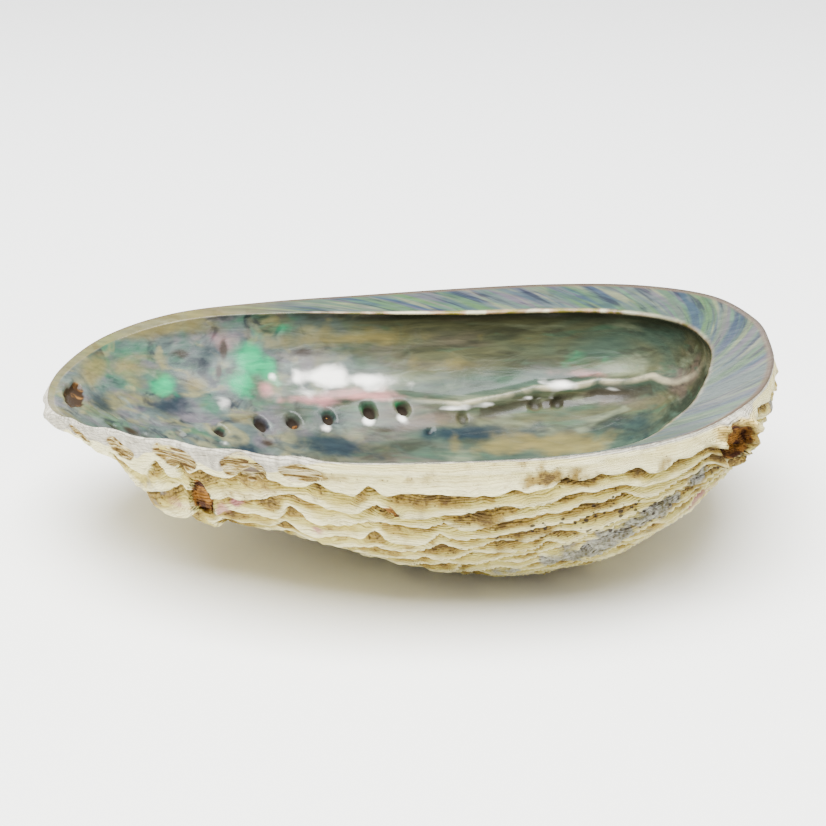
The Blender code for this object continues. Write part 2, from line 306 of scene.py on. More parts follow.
def scallop(row, point):
    """Depth of the lobes along a row's lower edge: folded sine waves, 0 at each cusp."""
    length = LOBE_LENGTH * (1.15 + 0.35 * np.sin(row * 2.7 + 1.6))
    x, y = point[..., 0] / length, point[..., 1] / length
    wave = np.sin(2.1 * x + 1.3 * y + 2.4 * row) + 0.7 * np.sin(1.9 * y - 1.2 * x + 1.7 * row)
    wave = wave + 0.5 * np.sin(3.1 * x - 0.8 * y + 3.9 * row)
    lobe = np.minimum(np.sqrt(wave ** 2 + 0.02) * 0.8, 1.15)
    reach = 0.35 + 0.75 * smooth_step(0.5 + 1.1 * ripple(point, 10.0, 1.3 * row))
    return np.where(row > 0, 0.5 + (lobe - 0.5) * reach, 0.5)


def row_place(point, rim_height):
    """Rows below the rim: the depth over a spacing that shrinks toward the hinge, and arcs underneath."""
    away = np.hypot(point[..., 0] - HINGE[0], point[..., 1] - HINGE[1]) + HINGE_REACH
    depth = np.maximum(rim_height - point[..., 2], 0)
    spacing = ROLL_SPACING * (1 - np.exp(-away / ROLL_OPENING))
    arcs = (depth / 41.0) ** 2 * (ARC_REACH - away) / ARC_SPACING
    start = 0.2 + 0.5 * np.exp(-((point[..., 0] - 10.0) / 35.0) ** 2)
    place = depth / spacing + arcs - start
    sway = 0.45 * ripple(point, 17.0, 0.4) + 0.14 * grain(point, 6.0, 31) + 0.07 * grain(point, 2.2, 32)
    return place + np.clip(place, 0, 1) * sway, spacing


def rolls(point, drop, rim_height):
    """Overlapping growth rolls: the rows below the rim, cut by scalloped edges.

    Gives the row's number, the part of the way down it, its upper and lower lobes, and its strength.
    """
    fan, spacing = row_place(point, rim_height)
    row = np.floor(fan) + 1
    for _ in range(2):
        row = row - (row + SCALLOP_DEPTH * (scallop(row, point) - 0.5) > fan)
    upper_lobe = scallop(row, point)
    lower_lobe = scallop(row + 1, point)
    upper = np.where(row > 0, row + SCALLOP_DEPTH * (upper_lobe - 0.5), -0.6)
    lower = row + 1 + SCALLOP_DEPTH * (lower_lobe - 0.5)
    part = np.clip((fan - upper) / (lower - upper), 0, 1)
    strength = np.clip(0.45 + fan * 0.4, 0.25, 1) * np.clip((spacing - 1.0) / 2.2, 0.25, 1)
    strength = strength * np.clip((1 - drop) / 0.2, 0.3, 1)
    return {"row": row, "part": part, "upper": upper_lobe, "lower": lower_lobe, "fan": fan,
            "strength": strength}


def bumps(point, lumps):
    """Sum of round lumps, each a Gaussian of the distance from its centre."""
    total = np.zeros(point.shape[:-1])
    for x, y, z, radius, height in lumps:
        gap = np.linalg.norm(point - np.array((x, y, z)), axis=-1)
        total = total + height * np.exp(-(gap / radius) ** 2)
    return total


def along_row(place):
    """Signed plan distance from the row of holes, positive toward the far rim, and the way along it."""
    points = np.array(HOLE_ROW)
    best = np.full(place.shape[:-1], 1e9)
    signed = np.zeros(place.shape[:-1])
    run = np.zeros(place.shape[:-1])
    start_run = 0.0
    for start, end in zip(points[:-1], points[1:]):
        span = end - start
        length = np.linalg.norm(span)
        share = np.clip(((place[..., :2] - start) @ span) / length ** 2, 0, 1)
        gap = place[..., :2] - start - share[..., None] * span
        distance = np.linalg.norm(gap, axis=-1)
        side = np.sign(span[0] * gap[..., 1] - span[1] * gap[..., 0])
        closer = distance < best
        best = np.where(closer, distance, best)
        signed = np.where(closer, distance * side, signed)
        run = np.where(closer, start_run + share * length, run)
        start_run = start_run + length
    return signed, run


def ring_counts(shares):
    """Vertices in each ring: halved wherever the ring's share of the radius passes a limit."""
    counts = np.full(shares.shape, MERIDIANS)
    for limit in COARSER_BELOW:
        counts = np.where(shares <= limit, counts // 2, counts)
    return counts


def even_drops(surface, shares):
    """Drops that share out the mean length down the surface, closer together at the shelf's edge."""
    turns = np.arange(72) / 72
    drops = np.linspace(0, 1, 801)
    grid_turn, grid_drop = np.meshgrid(turns, drops, indexing="ij")
    steps = np.linalg.norm(np.diff(surface(grid_turn, grid_drop), axis=1), axis=-1).mean(axis=0)
    steps = steps * (1 + 2.0 * np.exp(-((drops[1:] - SHELF_SHARE) / 0.03) ** 2))
    lengths = np.concatenate([[0], np.cumsum(steps)])
    return np.interp((1 - shares) * lengths[-1], lengths, drops)


def band_faces(start_a, count_a, start_b, count_b):
    """Triangles between two rings, where one ring may have half the vertices of the other."""
    fine = max(count_a, count_b)
    index = np.arange(fine)
    a0 = start_a + index * count_a // fine
    a1 = start_a + (index + 1) * count_a // fine % count_a
    b0 = start_b + index * count_b // fine
    b1 = start_b + (index + 1) * count_b // fine % count_b
    first = np.stack([a0, a1, b1], axis=-1)
    second = np.stack([a0, b1, b0], axis=-1)
    faces = np.concatenate([first, second])
    distinct = (faces[:, 0] != faces[:, 1]) & (faces[:, 1] != faces[:, 2]) & (faces[:, 0] != faces[:, 2])
    return faces[distinct]


def rings_of(surface, count):
    """Shares of the radius and drops of a surface's rings, from beside the rim to beside the pole."""
    shares = np.arange(count - 1, 0, -1) / count
    return shares, even_drops(surface, shares)


def carved_pits(point, pits):
    """Pits with raised lips: a smooth dip inside a wandering radius and a soft ring at its edge.

    Gives the depth of the dips, the height of the lips and a mark of where the dips are.
    """
    hollow = np.zeros(point.shape[:-1])
    raised = np.zeros(point.shape[:-1])
    dark = np.zeros(point.shape[:-1])
    for centre, halves, depth, lip in pits:
        gap = np.linalg.norm((point - np.array(centre)) / np.array(halves), axis=-1)
        gap = gap * (1 + 0.22 * grain(point, 2.6, 7))
        hollow = hollow + depth * smooth_step((1.15 - gap) / 0.35)
        raised = raised + lip * (1 + 0.7 * grain(point, 1.6, 8)) * np.exp(-((gap - 1.3) / 0.28) ** 2)
        dark = np.maximum(dark, smooth_step((1.15 - gap) / 0.25))
    return hollow, raised, dark


def hole_exits():
    """Pits where the open holes come out: the outside points nearest to them, searched on a grid."""
    turn, drop = np.meshgrid(np.arange(1200) / 1200, np.linspace(0.2, 1, 300), indexing="ij")
    inner = (inside_base(turn, drop) + np.array(TO_ORIGIN)).reshape(-1, 3)
    outer = (outside_base(turn, drop) + np.array(TO_ORIGIN)).reshape(-1, 3)
    pits = []
    for x, y, radius in OPEN_HOLES:
        start = inner[np.argmin(np.hypot(inner[:, 0] - x, inner[:, 1] - y))]
        end = outer[np.argmin(np.linalg.norm(outer - start, axis=-1))]
        pits.append((end, np.full(3, radius * EXIT_WIDENING), EXIT_DEPTH, EXIT_LIP))
    return pits


def rim_lift(point, drop):
    """Waves of the rim: a rounded rise over each cell, fading out below the rim."""
    lift = np.zeros(point.shape[:-1])
    for cell in RIM_CELLS:
        x, y = cell[0][:2]
        gap = np.hypot(point[..., 0] - x, point[..., 1] - y)
        lift = lift + CREST_LIFT * np.exp(-(gap / CREST_REACH) ** 2)
    return lift * smooth_step(1 - drop / 0.12)


def roll_relief(roll, settings):
    """Height of the rolls: each swells down to its lower edge and is hollow under the roll above it."""
    part = roll["part"]
    falling = 1 - ((part - ROLL_PEAK) / (1 - ROLL_PEAK)) ** 2
    swell = np.where(part < ROLL_PEAK, (part / ROLL_PEAK) ** 0.8, falling)
    hollow = (1 - smooth_step(part / 0.5)) * (0.5 + 1.4 * (0.85 - np.minimum(roll["upper"], 0.85)))
    hollow = hollow * np.clip(roll["row"], 0, 1)
    raised = settings.roll_height / MM * swell * (0.55 + 0.45 * roll["lower"])
    return roll["strength"] * (raised - ROLL_RECESS * hollow)


def fine_relief(base, roll):
    """Height of the fine relief: two value noises and threads along the rows, weaker on a roll's edge."""
    noise = 0.30 * grain(base, 2.8, 1) + 0.22 * grain(base, 1.4, 2)
    threads = 0.11 * np.sin(2 * math.pi * (3 * roll["fan"] + grain(base, 9.0, 4)))
    return (noise + threads) * (1.3 - 0.6 * roll["part"]) * (0.3 + 0.7 * np.clip(roll["fan"], 0, 1))


def pocket_mark(roll):
    """Where a roll lies in the shade of the one above: its upper part, more so behind a cusp."""
    pocket = smooth_step(1 - roll["part"] / 0.75) * np.clip(0.45 + 1.3 * (0.75 - roll["upper"]), 0, 1)
    return pocket * np.clip(roll["row"], 0, 1) * np.clip(roll["strength"] * 1.5, 0, 1)


def band_mark(roll, place, depth):
    """Where the lilac chalk of the rim shows: a band that is wide toward the tip, with lobes below."""
    width = 0.3 + 3.2 * smooth_step((-14 - place[..., 0]) / 18)
    width = width + 0.4 * smooth_step((place[..., 0] - 10) / 30)
    return smooth_step(width * (0.75 + 0.5 * roll["lower"]) - depth + 0.5)


def outside_shape(turn, drop):
    """Outside: base surface moved along its normal by rolls, lumps, cells and grain, then worn flat.

    The openings are sunk afterwards, along their own way instead of the normal.
    """
    base = outside_base(turn, drop)
    rim_height = rim_point(turn)[..., 2]
    roll = rolls(base, drop, rim_height)
    world = base + np.array(TO_ORIGIN)
    knobs = smooth_step((28 - world[..., 2]) / 12) * 0.45 * grain(base, 4.2, 3)
    cell_depth, cell_lip, cell = carved_pits(world, RIM_CELLS)
    exit_depth, exit_lip, exit_dark = carved_pits(world, hole_exits())
    height = roll_relief(roll, bpy.context.scene.shell_settings) + bumps(world, LUMPS) + knobs
    height = height + cell_lip - cell_depth + exit_lip - exit_depth + fine_relief(base, roll)
    fade = np.clip(drop / 0.04, 0, 1)
    normal = normal_of(outside_base, turn, drop, 1.0)
    point = base + normal * (height * fade)[..., None]
    pit_depth, pit_lip, dark = carved_pits(point + np.array(TO_ORIGIN), OUTSIDE_PITS)
    point = point + normal * (pit_lip * fade)[..., None]
    point = point + np.array(PIT_WAY) * (pit_depth * fade)[..., None]
    point[..., 2] = np.maximum(point[..., 2] + rim_lift(world, drop), WORN_DEPTH)
    return point + np.array(TO_ORIGIN), {
        "pocket": pocket_mark(roll),
        "part": roll["part"],
        "dark": np.maximum(dark, exit_dark),
        "cell": cell,
        "fan": roll["fan"],
        "band": band_mark(roll, world, rim_height - base[..., 2]),
        "first": np.clip(1 - roll["row"], 0, 1),
    }


def ridge_relief(signed, run):
    """Height of the fold beside the row of holes: a crest, a trough before it, and low mounds at first."""
    ends = smooth_step(run / 12) * smooth_step((165 - run) / 25)
    late = smooth_step((run - 85) / 25) * (1 - 0.6 * smooth_step((run - 130) / 25))
    crest = (0.6 + 0.9 * late) * np.exp(-((signed - 2.4) / 1.2) ** 2)
    trough = 0.7 * late * np.exp(-((signed + 0.6) / 2.2) ** 2)
    mound = 0.6 * (1 - late) * np.exp(-(signed / 2.4) ** 2)
    return (crest - trough + mound) * ends


def hole_relief(base):
    """Depth of the breathing holes, each a dip inside a wandering radius, and a mark of where they are."""
    depth = np.zeros(base.shape[:-1])
    dark = np.zeros(base.shape[:-1])
    wander = 1 + 0.25 * grain(base, 2.0, 21)
    for holes, deep in ((OPEN_HOLES, OPEN_DEPTH), (CLOSED_HOLES, CLOSED_DEPTH)):
        for x, y, radius in holes:
            gap = np.hypot(base[..., 0] - x, base[..., 1] - y) / (radius * HOLE_WIDENING) * wander
            hollow = smooth_step((1.15 - gap) / 0.7)
            depth = depth + deep * hollow
            dark = np.maximum(dark, hollow * min(deep / DARK_FROM_DEPTH, 1))
    return depth, dark


def inside_shape(turn, drop):
    """Inside: bowl and shelf moved along the normal by the fold, the holes, the notch and soft waves."""
    base = inside_base(turn, drop) + np.array(TO_ORIGIN)
    signed, run = along_row(base)
    in_bowl = smooth_step((drop - 0.2) / 0.1)
    depth, dark = hole_relief(base)
    toward_tip = smooth_step((-15 - base[..., 0]) / 25)
    waves = 0.5 * toward_tip * grain(base, 8.0, 11) + 0.12 * grain(base, 5.0, 12)
    height = (ridge_relief(signed, run) - depth + waves) * in_bowl
    pit_depth, pit_lip, notch = carved_pits(base, INSIDE_PITS)
    height = height + (pit_lip - pit_depth) * smooth_step(drop / 0.03)
    point = base + normal_of(inside_base, turn, drop, -1.0) * height[..., None]
    point[..., 2] = point[..., 2] + rim_lift(base, drop)
    return point, {"dark": dark * in_bowl, "row": signed, "run": run, "below": drop, "notch": notch}


def buried_shape(turn, drop, inward):
    """Hidden back of a layer: a blend of the outside and the inside, inside the shell's wall."""
    outer = outside_base(turn, drop)
    inner = inside_base(turn, drop)
    outer[..., 2] = np.maximum(outer[..., 2], WORN_DEPTH)
    point = outer + (inner - outer) * inward + np.array(TO_ORIGIN)
    point[..., 2] = point[..., 2] + rim_lift(point, drop)
    return point


# Tinted patches of the nacre, and patches of painted highlight: centre and half widths in millimetres, and
# strength.
NACRE_PATCHES = {
    "green": (((-37.8, 37.5, 28.5), (4.0, 4.0, 4.0), 1.0), ((-40.1, 31.9, 24.3), (4.0, 4.0, 3.0), 1.0),
              ((-33.6, 36.6, 26.5), (3.0, 3.0, 4.0), 0.8), ((-56.9, 26.6, 26.2), (3.5, 3.5, 2.6), 0.9),
              ((45.0, 49.0, 24.0), (9.0, 4.0, 3.0), 0.35), ((-15.0, 33.5, 16.5), (6.0, 2.0, 2.0), 0.5),
              ((-31.0, 44.0, 34.5), (5.0, 3.0, 1.6), 0.5), ((-5.0, 36.5, 17.8), (3.0, 1.6, 1.6), 0.8)),
    # Painted highlights: broad sheen, the bright line along the ridge and glints beside the holes, at fixed
    # places.
    "pearl": (((-21.0, 38.4, 24.0), (7.0, 3.0, 2.0), 1.1), ((-10.0, 39.2, 22.8), (8.0, 3.0, 1.6), 0.95),
              ((-26.0, 35.0, 21.0), (6.0, 2.0, 1.2), 0.6), ((36.4, 44.0, 19.9), (3.5, 2.5, 1.1), 1.0),
              ((27.0, 41.9, 17.2), (5.0, 1.2, 0.5), 0.8), ((9.5, 37.3, 16.4), (4.0, 1.2, 0.6), 0.8),
              ((17.0, 39.2, 16.6), (4.0, 1.2, 0.5), 0.7), ((50.0, 41.6, 19.6), (12.0, 1.5, 0.4), 0.6),
              ((-43.5, 27.5, 21.0), (2.2, 2.2, 1.6), 0.6), ((-32.8, 36.0, 24.9), (1.2, 1.2, 1.0), 0.7),
              ((-19.8, 27.0, 14.9), (1.3, 1.3, 1.0), 1.1), ((-10.4, 31.4, 15.2), (1.3, 1.3, 1.0), 1.1),
              ((-2.4, 33.0, 15.2), (1.3, 1.3, 1.0), 1.1), ((-43.0, 14.5, 15.5), (1.6, 1.2, 1.0), 1.0)),
    "rose": (((-12.1, 36.3, 19.9), (12.0, 2.0, 1.5), 0.9), ((-23.7, 33.4, 20.1), (8.0, 2.0, 1.2), 0.9),
             ((12.0, 53.0, 35.0), (7.0, 3.0, 2.6), 0.6), ((45.0, 47.0, 22.0), (14.0, 3.0, 0.8), 0.6),
             ((-46.0, 40.0, 33.0), (6.0, 4.0, 2.0), 0.5), ((-34.0, 33.0, 22.5), (2.0, 2.0, 2.0), 0.9)),
    "tan": (((34.0, 30.6, 9.8), (17.0, 5.0, 2.0), 1.1), ((20.9, 29.6, 9.5), (10.0, 4.0, 1.8), 0.9),
            ((-64.9, 26.3, 30.5), (7.0, 5.0, 3.0), 0.8), ((-50.2, 29.2, 25.4), (2.5, 2.5, 2.0), 0.9),
            ((-14.0, 44.0, 31.4), (22.0, 5.0, 2.0), 0.8), ((-60.0, 35.0, 37.0), (22.0, 5.0, 2.8), 1.0),
            ((0.0, 36.0, 14.5), (6.0, 2.5, 1.4), 0.7), ((-39.6, 22.9, 18.6), (4.0, 2.5, 1.6), 0.8),
            ((8.0, 45.0, 24.6), (9.0, 3.0, 2.0), 0.6), ((-72.0, 20.0, 32.0), (4.0, 8.0, 2.6), 0.9)),
    "blue": (((16.2, 32.0, 11.9), (28.0, 3.4, 1.8), 1.1), ((-18.6, 21.7, 12.9), (17.0, 4.0, 2.4), 1.1),
             ((-40.0, 14.0, 14.5), (8.0, 4.0, 2.0), 1.0), ((60.0, 33.0, 14.0), (14.0, 8.0, 3.0), 0.9),
             ((-69.3, 10.8, 26.9), (3.0, 4.0, 4.0), 1.0), ((-56.0, 20.5, 23.0), (8.0, 4.0, 2.2), 0.9),
             ((-49.0, 36.5, 30.5), (6.0, 3.0, 2.2), 0.8), ((-22.0, 45.0, 36.0), (5.0, 3.0, 1.5), 0.4)),
    # Painted shade in the bowl's creases and along the inner side of the near rim, and real dark blots on
    # the shelf.
    "crease": (((-44.2, 37.0, 31.2), (0.8, 2.6, 3.0), 1.1), ((-45.0, 33.0, 26.8), (0.8, 2.6, 2.6), 1.1),
               ((-53.5, 34.0, 31.0), (3.0, 1.6, 1.2), 0.9), ((-25.5, 41.4, 29.0), (4.5, 1.6, 0.9), 1.0),
               ((-36.0, 43.0, 34.0), (4.0, 1.4, 0.8), 0.8), ((33.0, 41.0, 16.2), (7.0, 1.6, 0.7), 1.1),
               ((-7.0, 29.5, 13.6), (5.0, 1.2, 0.6), 0.9), ((-33.0, 19.0, 14.0), (2.0, 1.4, 1.0), 0.9),
               ((33.5, 53.0, 41.0), (1.6, 1.8, 1.5), 0.9), ((60.0, 47.0, 41.0), (1.6, 2.5, 1.5), 0.8),
               ((66.0, 40.0, 41.0), (1.5, 3.5, 1.5), 0.7), ((-62.0, 3.0, 23.5), (6.0, 2.0, 1.4), 0.9),
               ((-66.0, 1.0, 24.5), (5.0, 3.0, 1.5), 0.9), ((-58.5, 3.0, 21.0), (4.0, 2.5, 1.3), 0.8),
               ((-47.0, 8.0, 15.8), (4.0, 3.0, 1.0), 0.8)),
}

# Tinted patches of the crust: centre and half widths in millimetres, and strength.
CRUST_PATCHES = {
    "grey": (((56.8, -40.4, 29.7), (3.4, 3.4, 3.4), 1.0), ((50.9, -43.1, 25.6), (4.6, 4.0, 2.2), 1.0),
             ((44.5, -44.0, 21.6), (5.0, 5.0, 2.6), 1.1), ((37.6, -41.7, 15.8), (6.0, 5.0, 3.0), 1.1),
             ((41.0, -43.5, 18.6), (5.0, 5.0, 3.2), 1.1), ((34.0, -41.5, 13.4), (6.0, 5.0, 3.2), 1.1),
             ((48.0, -43.5, 23.8), (4.6, 4.5, 2.8), 1.1), ((30.0, -41.1, 11.5), (6.0, 5.0, 2.6), 1.0),
             ((20.0, -38.0, 7.0), (6.0, 5.0, 2.5), 0.7), ((68.0, -27.0, 27.0), (3.0, 5.0, 4.0), 0.7),
             ((-52.0, -32.0, 24.0), (5.0, 6.0, 6.0), 0.45), ((77.5, -12.0, 35.0), (3.0, 5.0, 4.0), 0.8),
             ((-62.0, 10.0, 18.0), (6.0, 8.0, 6.0), 0.5)),
    "pink": (((-37.4, -40.0, 22.3), (1.8, 3.5, 3.0), 1.0), ((-34.6, -43.8, 25.5), (1.6, 2.5, 2.2), 0.9),
             ((-18.8, -45.0, 20.0), (2.4, 2.6, 1.8), 1.1), ((58.9, -29.7, 20.5), (4.0, 4.0, 2.2), 0.9),
             ((66.0, -27.0, 25.0), (3.5, 3.0, 3.0), 0.5), ((-10.0, 49.0, 22.0), (4.0, 4.0, 4.0), 0.6),
             ((-62.0, 20.0, 20.0), (4.0, 4.0, 4.0), 0.6), ((40.0, 45.0, 18.0), (5.0, 4.0, 4.0), 0.5),
             ((-47.0, -34.0, 22.0), (3.0, 3.0, 2.0), 0.5)),
    "ochre": (((62.8, -36.0, 37.2), (6.5, 7.5, 6.5), 1.2), ((26.0, -57.0, 36.4), (7.0, 3.0, 1.7), 1.6),
              ((33.0, -54.0, 36.0), (3.0, 3.0, 1.5), 1.2), ((11.2, -54.2, 25.8), (8.0, 4.0, 2.0), 0.9),
              ((24.0, -50.0, 22.0), (7.0, 5.0, 2.0), 0.9), ((3.0, -48.0, 18.0), (10.0, 6.0, 2.0), 0.6),
              ((-30.0, -46.0, 28.0), (6.0, 4.0, 3.0), 0.8), ((-14.0, -56.0, 36.6), (7.0, 3.0, 0.8), 1.0),
              ((48.0, -48.0, 35.0), (5.0, 3.0, 1.4), 0.7), ((-5.0, -58.0, 36.5), (5.0, 3.0, 0.7), 1.0)),
    "gold": (((64.6, -37.0, 36.4), (7.0, 6.5, 5.6), 1.2), ((77.0, -15.0, 34.0), (4.0, 6.0, 6.0), 0.8),
             ((79.0, 2.0, 33.0), (4.0, 5.0, 5.0), 0.7), ((-44.0, -34.0, 21.0), (5.0, 6.0, 4.0), 0.5),
             ((66.0, -30.0, 29.0), (5.0, 5.0, 3.0), 0.7), ((-75.0, -9.0, 29.0), (3.0, 3.0, 3.0), 0.7),
             ((50.0, -40.0, 18.0), (6.0, 5.0, 2.0), 0.6)),
    "specks": (((40.0, -46.0, 24.0), (26.0, 16.0, 10.0), 1.1), ((60.0, -35.0, 30.0), (8.0, 10.0, 6.0), 1.0),
               ((17.7, -56.5, 31.9), (4.0, 3.0, 2.0), 0.8)),
}


def patch_value(point, patches, seed):
    """Largest of a tint's Gaussian patches, each with its own centre, half widths and strength."""
    value = np.zeros(point.shape[:-1])
    uneven = 1 + 0.50 * grain(point, 3.4, seed) + 0.12 * grain(point, 1.6, seed + 1)
    for centre, halves, strength in patches:
        gap = np.linalg.norm((point - np.array(centre)) / np.array(halves), axis=-1)
        value = np.maximum(value, strength * np.exp(-(gap * uneven) ** 2))
    return value


def join_rings(counts, starts, pole):
    """Triangles of a fan of rings, each with its count and first vertex, closed at the last by a pole."""
    faces = [band_faces(starts[ring], counts[ring], starts[ring + 1], counts[ring + 1])
             for ring in range(len(counts) - 1)]
    index = np.arange(counts[-1])
    last = starts[-1]
    cap = np.stack([last + index, last + (index + 1) % counts[-1], np.full(counts[-1], pole)], axis=-1)
    return np.concatenate([*faces, cap])


def layer_grid(base, rings):
    """Rings of a layer: the counts that show and are buried, and each vertex's turn, drop and share."""
    shares, drops = rings_of(base, rings)
    shares = np.concatenate([[1.0], shares])
    drops = np.concatenate([[0.0], drops])
    counts = ring_counts(shares)
    buried_shares, buried_drops = rings_of(base, BURIED_RINGS)
    buried_counts = np.maximum(MERIDIANS // 2 ** np.arange(1, BURIED_RINGS), 50)
    all_counts = np.concatenate([counts, buried_counts])
    turn = np.concatenate([np.arange(count) / count for count in all_counts])
    drop = np.repeat(np.concatenate([drops, buried_drops]), all_counts)
    share = np.repeat(np.concatenate([shares, buried_shares]), all_counts)
    return counts, buried_counts, turn, drop, share


def layer_faces(counts, buried_counts, outer):
    """Triangles of the rings that show and of the buried ones, which share the rim, and which are buried."""
    starts = np.cumsum([0, *counts, *buried_counts])
    pole = starts[-1]
    front = join_rings(counts, starts[:len(counts)], pole)
    back_counts = np.concatenate([counts[:1], buried_counts])
    back_starts = np.concatenate([[0], starts[len(counts):-1]])
    back = join_rings(back_counts, back_starts, pole + 1)[:, ::-1]
    faces = np.concatenate([front, back])
    if outer:
        faces = faces[:, ::-1]
    return faces, np.arange(len(faces)) >= len(front)


def filled_mesh(name, place, faces):
    """Smooth mesh of triangles from points in millimetres."""
    mesh = bpy.data.meshes.new(name)
    mesh.vertices.add(len(place))
    mesh.vertices.foreach_set("co", (place * MM).ravel())
    mesh.loops.add(faces.size)
    mesh.loops.foreach_set("vertex_index", faces.ravel())
    mesh.polygons.add(len(faces))
    mesh.polygons.foreach_set("loop_start", np.arange(len(faces)) * 3)
    mesh.update(calc_edges=True)
    mesh.polygons.foreach_set("use_smooth", np.ones(len(faces), bool))
    return mesh


def layer_mesh(name, surface, base, rings, inward, outer, patches):
    """Closed mesh of one layer: the surface that shows and its hidden back, each closed by a pole."""
    counts, buried_counts, turn, drop, share = layer_grid(base, rings)
    shown = np.arange(len(turn)) < counts.sum()
    spots, marks = surface(turn[shown], drop[shown])
    hidden = buried_shape(turn[~shown], drop[~shown], inward)
    last = slice(counts[:-1].sum(), counts.sum())
    poles = np.stack([spots[last].mean(axis=0), hidden[-buried_counts[-1]:].mean(axis=0)])
    place = np.concatenate([spots, hidden, poles])
    faces, is_back = layer_faces(counts, buried_counts, outer)
    mesh = filled_mesh(name, place, faces)
    write_unwrapping(mesh, faces, is_back, np.append(turn, [0, 0]), np.append(share, [0, 0]))
    for mark, value in marks.items():
        write_mark(mesh, mark, np.concatenate([value, np.zeros(len(hidden)), [value[last].mean(), 0.0]]))
    for tint, spots_of_tint in patches.items():
        write_mark(mesh, tint, patch_value(place, spots_of_tint, len(tint)))
    return mesh


def write_unwrapping(mesh, faces, is_back, turn, share):
    """UV map of two discs: the way round as the angle, the way from the pole as the radius."""
    layer = mesh.uv_layers.new(name="OFBake")
    corners = faces.ravel()
    angle = turn[corners] * 2 * math.pi
    disc = np.where(np.repeat(is_back, 3)[:, None], BURIED_DISC, SHOWN_DISC)
    radius = share[corners] * disc[:, 2]
    u = disc[:, 0] + radius * np.cos(angle)
    v = disc[:, 1] + radius * np.sin(angle)
    layer.data.foreach_set("uv", np.stack([u, v], axis=-1).ravel())


def write_mark(mesh, name, value):
    """One float attribute on the vertices."""
    layer = mesh.attributes.new(name=name, type="FLOAT", domain="POINT")
    layer.data.foreach_set("value", value.astype(np.float32))


class Value:
    """A node's output, which can stand in Python expressions on numbers."""

    def __init__(self, paint, socket):
        self.paint = paint
        self.socket = socket

    def math(self, operation, *values):
        """Add a Math node with an operation on some values."""
        return self.paint.make("ShaderNodeMath", {"operation": operation}, dict(enumerate(values)))

    def __add__(self, other):
        return self.math("ADD", self, other)

    def __radd__(self, other):
        return self.math("ADD", other, self)

    def __sub__(self, other):
        return self.math("SUBTRACT", self, other)

    def __rsub__(self, other):
        return self.math("SUBTRACT", other, self)

    def __mul__(self, other):
        return self.math("MULTIPLY", self, other)

    def __rmul__(self, other):
        return self.math("MULTIPLY", other, self)


class Paint:
    """A material and the one method that adds nodes to its tree."""

    def __init__(self, name):
        self.material = bpy.data.materials.new(name)
        self.material.use_nodes = True
        self.tree = self.material.node_tree
        self.surface = self.tree.nodes["Principled BSDF"]

    def make(self, kind, settings=None, inputs=None, output=0):
        """Add a node: its settings first, then the values or links of its sockets."""
        node = self.tree.nodes.new(kind)
        for name, value in (settings or {}).items():
            if name == "stops":
                self.set_stops(node.color_ramp, value)
            else:
                setattr(node, name, value)
        for name, value in (inputs or {}).items():
            self.feed(node.inputs[name], value)
        return Value(self, node.outputs[output])

    def set_stops(self, ramp, stops):
        """Place a colour ramp's stops, given as pairs of position and colour."""
        while len(ramp.elements) < len(stops):
            ramp.elements.new(1.0)
        for element, (position, colour) in zip(ramp.elements, stops):
            element.position = position
            element.color = (*colour, 1.0)

    def feed(self, socket, value):
        """Link a value into a socket, or set the socket to a number or colour."""
        if isinstance(value, Value):
            self.tree.links.new(value.socket, socket)
        elif socket.type == "RGBA":
            socket.default_value = (*value, 1.0)
        else:
            socket.default_value = value

    def mark(self, name):
        """Value of one of the mesh's own marks."""
        return self.make("ShaderNodeAttribute", {"attribute_name": name}, None, "Fac")

    def place(self, stretch=(1.0, 1.0, 1.0)):
        """Object coordinates, stretched along the axes."""
        coordinate = self.make("ShaderNodeTexCoord", None, None, "Object")
        return self.make("ShaderNodeMapping", None, {"Vector": coordinate, "Scale": stretch})

    def cloud(self, size, detail=3.0, stretch=(1.0, 1.0, 1.0), warp=0.0):
        """Noise with features of a size in metres."""
        return self.noise(self.place(stretch), size, detail, warp)

    def noise(self, spot, size, detail, warp):
        """Noise of a spot, with features of a size."""
        inputs = {"Vector": spot, "Scale": 1 / size, "Detail": detail, "Distortion": warp}
        return self.make("ShaderNodeTexNoise", None, inputs)

    def washes(self, colour, spot, layers):
        """Soft overlapping patches of tints, each where a noise of its own size is high."""
        for size, low, high, tint, most in layers:
            share = self.ease(self.noise(spot, size, 3.0, 0.6), low, high)
            colour = self.blend(share * most, colour, tint)
        return colour

    def axis(self, name):
        """One of the object coordinates, in metres."""
        return self.make("ShaderNodeSeparateXYZ", None, {"Vector": self.place()}, name)

    def wave(self, value):
        """Sine of a number of turns, from 0 to 1."""
        return self.make("ShaderNodeMath", {"operation": "SINE"}, {0: value * (2 * math.pi)}) * 0.5 + 0.5

    def ease(self, value, low, high):
        """Smooth ramp of a value from 0 at low to 1 at high."""
        return self.make("ShaderNodeMapRange", {"interpolation_type": "SMOOTHSTEP"},
                         {"Value": value, "From Min": low, "From Max": high})

    def blend(self, share, first, second, way="MIX"):
        """Colour mixed from the first to the second by a share."""
        return self.make("ShaderNodeMix", {"data_type": "RGBA", "blend_type": way},
                         {0: share, 6: first, 7: second}, 2)

    def ramp(self, value, stops):
        """Colour read from a ramp."""
        return self.make("ShaderNodeValToRGB", {"stops": stops}, {"Fac": value})


# Colours of the tinted patches of the nacre, and how strongly each one covers.
PATCH_TINTS = (
    ("blue", (0.010, 0.019, 0.027), 0.9), ("tan", (0.185, 0.152, 0.070), 0.75),
    ("green", (0.055, 0.360, 0.175), 0.9), ("rose", (0.52, 0.27, 0.27), 0.75),
    # The last colour is painted shade, laid in the bowl's creases and along the near rim.
    ("crease", (0.018, 0.010, 0.004), 0.95),
)
# Near-white colour of the painted highlights laid at the pearl patches.
PAINTED_GLINT_TINT = (1.0, 0.97, 0.90)

